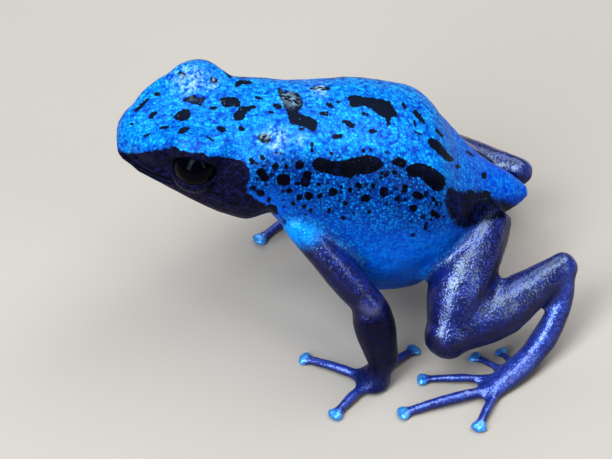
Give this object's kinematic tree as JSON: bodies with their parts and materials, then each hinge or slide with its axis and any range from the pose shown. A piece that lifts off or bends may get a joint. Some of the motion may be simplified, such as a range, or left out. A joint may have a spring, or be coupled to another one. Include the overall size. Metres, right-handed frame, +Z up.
{
  "type": "poison dart frog figure",
  "caption": "Life-size blue poison dart frog standing tall on all fours with its head raised, black-spotted back and dark violet limbs.",
  "frame": {"origin": "on the ground, under the middle of the frog's box", "axes": "the head points along -X, the frog's left flank along -Y, and +Z is up"},
  "size_m": [0.0422, 0.0384, 0.0263],
  "materials": {
    "blue_skin": "moist granular skin, azure with black spots",
    "limb_skin": "moist granular skin, dark violet blue",
    "eye": "wet, near black"
  },
  "bodies": {
    "root": {"head": "blue_skin", "torso": "blue_skin", "eye_left": "eye", "upper_arm_left": "limb_skin", "forearm_left": "limb_skin", "hand_left": "limb_skin", "thigh_left": "limb_skin", "shank_left": "limb_skin", "tarsus_left": "limb_skin", "foot_left": "limb_skin", "finger_1_left": "limb_skin", "finger_2_left": "limb_skin", "finger_3_left": "limb_skin", "finger_4_left": "limb_skin", "toe_1_left": "limb_skin", "toe_2_left": "limb_skin", "toe_3_left": "limb_skin", "toe_4_left": "limb_skin", "toe_5_left": "limb_skin", "eye_right": "eye", "upper_arm_right": "limb_skin", "forearm_right": "limb_skin", "hand_right": "limb_skin", "thigh_right": "limb_skin", "shank_right": "limb_skin", "tarsus_right": "limb_skin", "foot_right": "limb_skin", "finger_1_right": "limb_skin", "finger_2_right": "limb_skin", "finger_3_right": "limb_skin", "finger_4_right": "limb_skin", "toe_1_right": "limb_skin", "toe_2_right": "limb_skin", "toe_3_right": "limb_skin", "toe_4_right": "limb_skin", "toe_5_right": "limb_skin"}
  },
  "joints": []
}
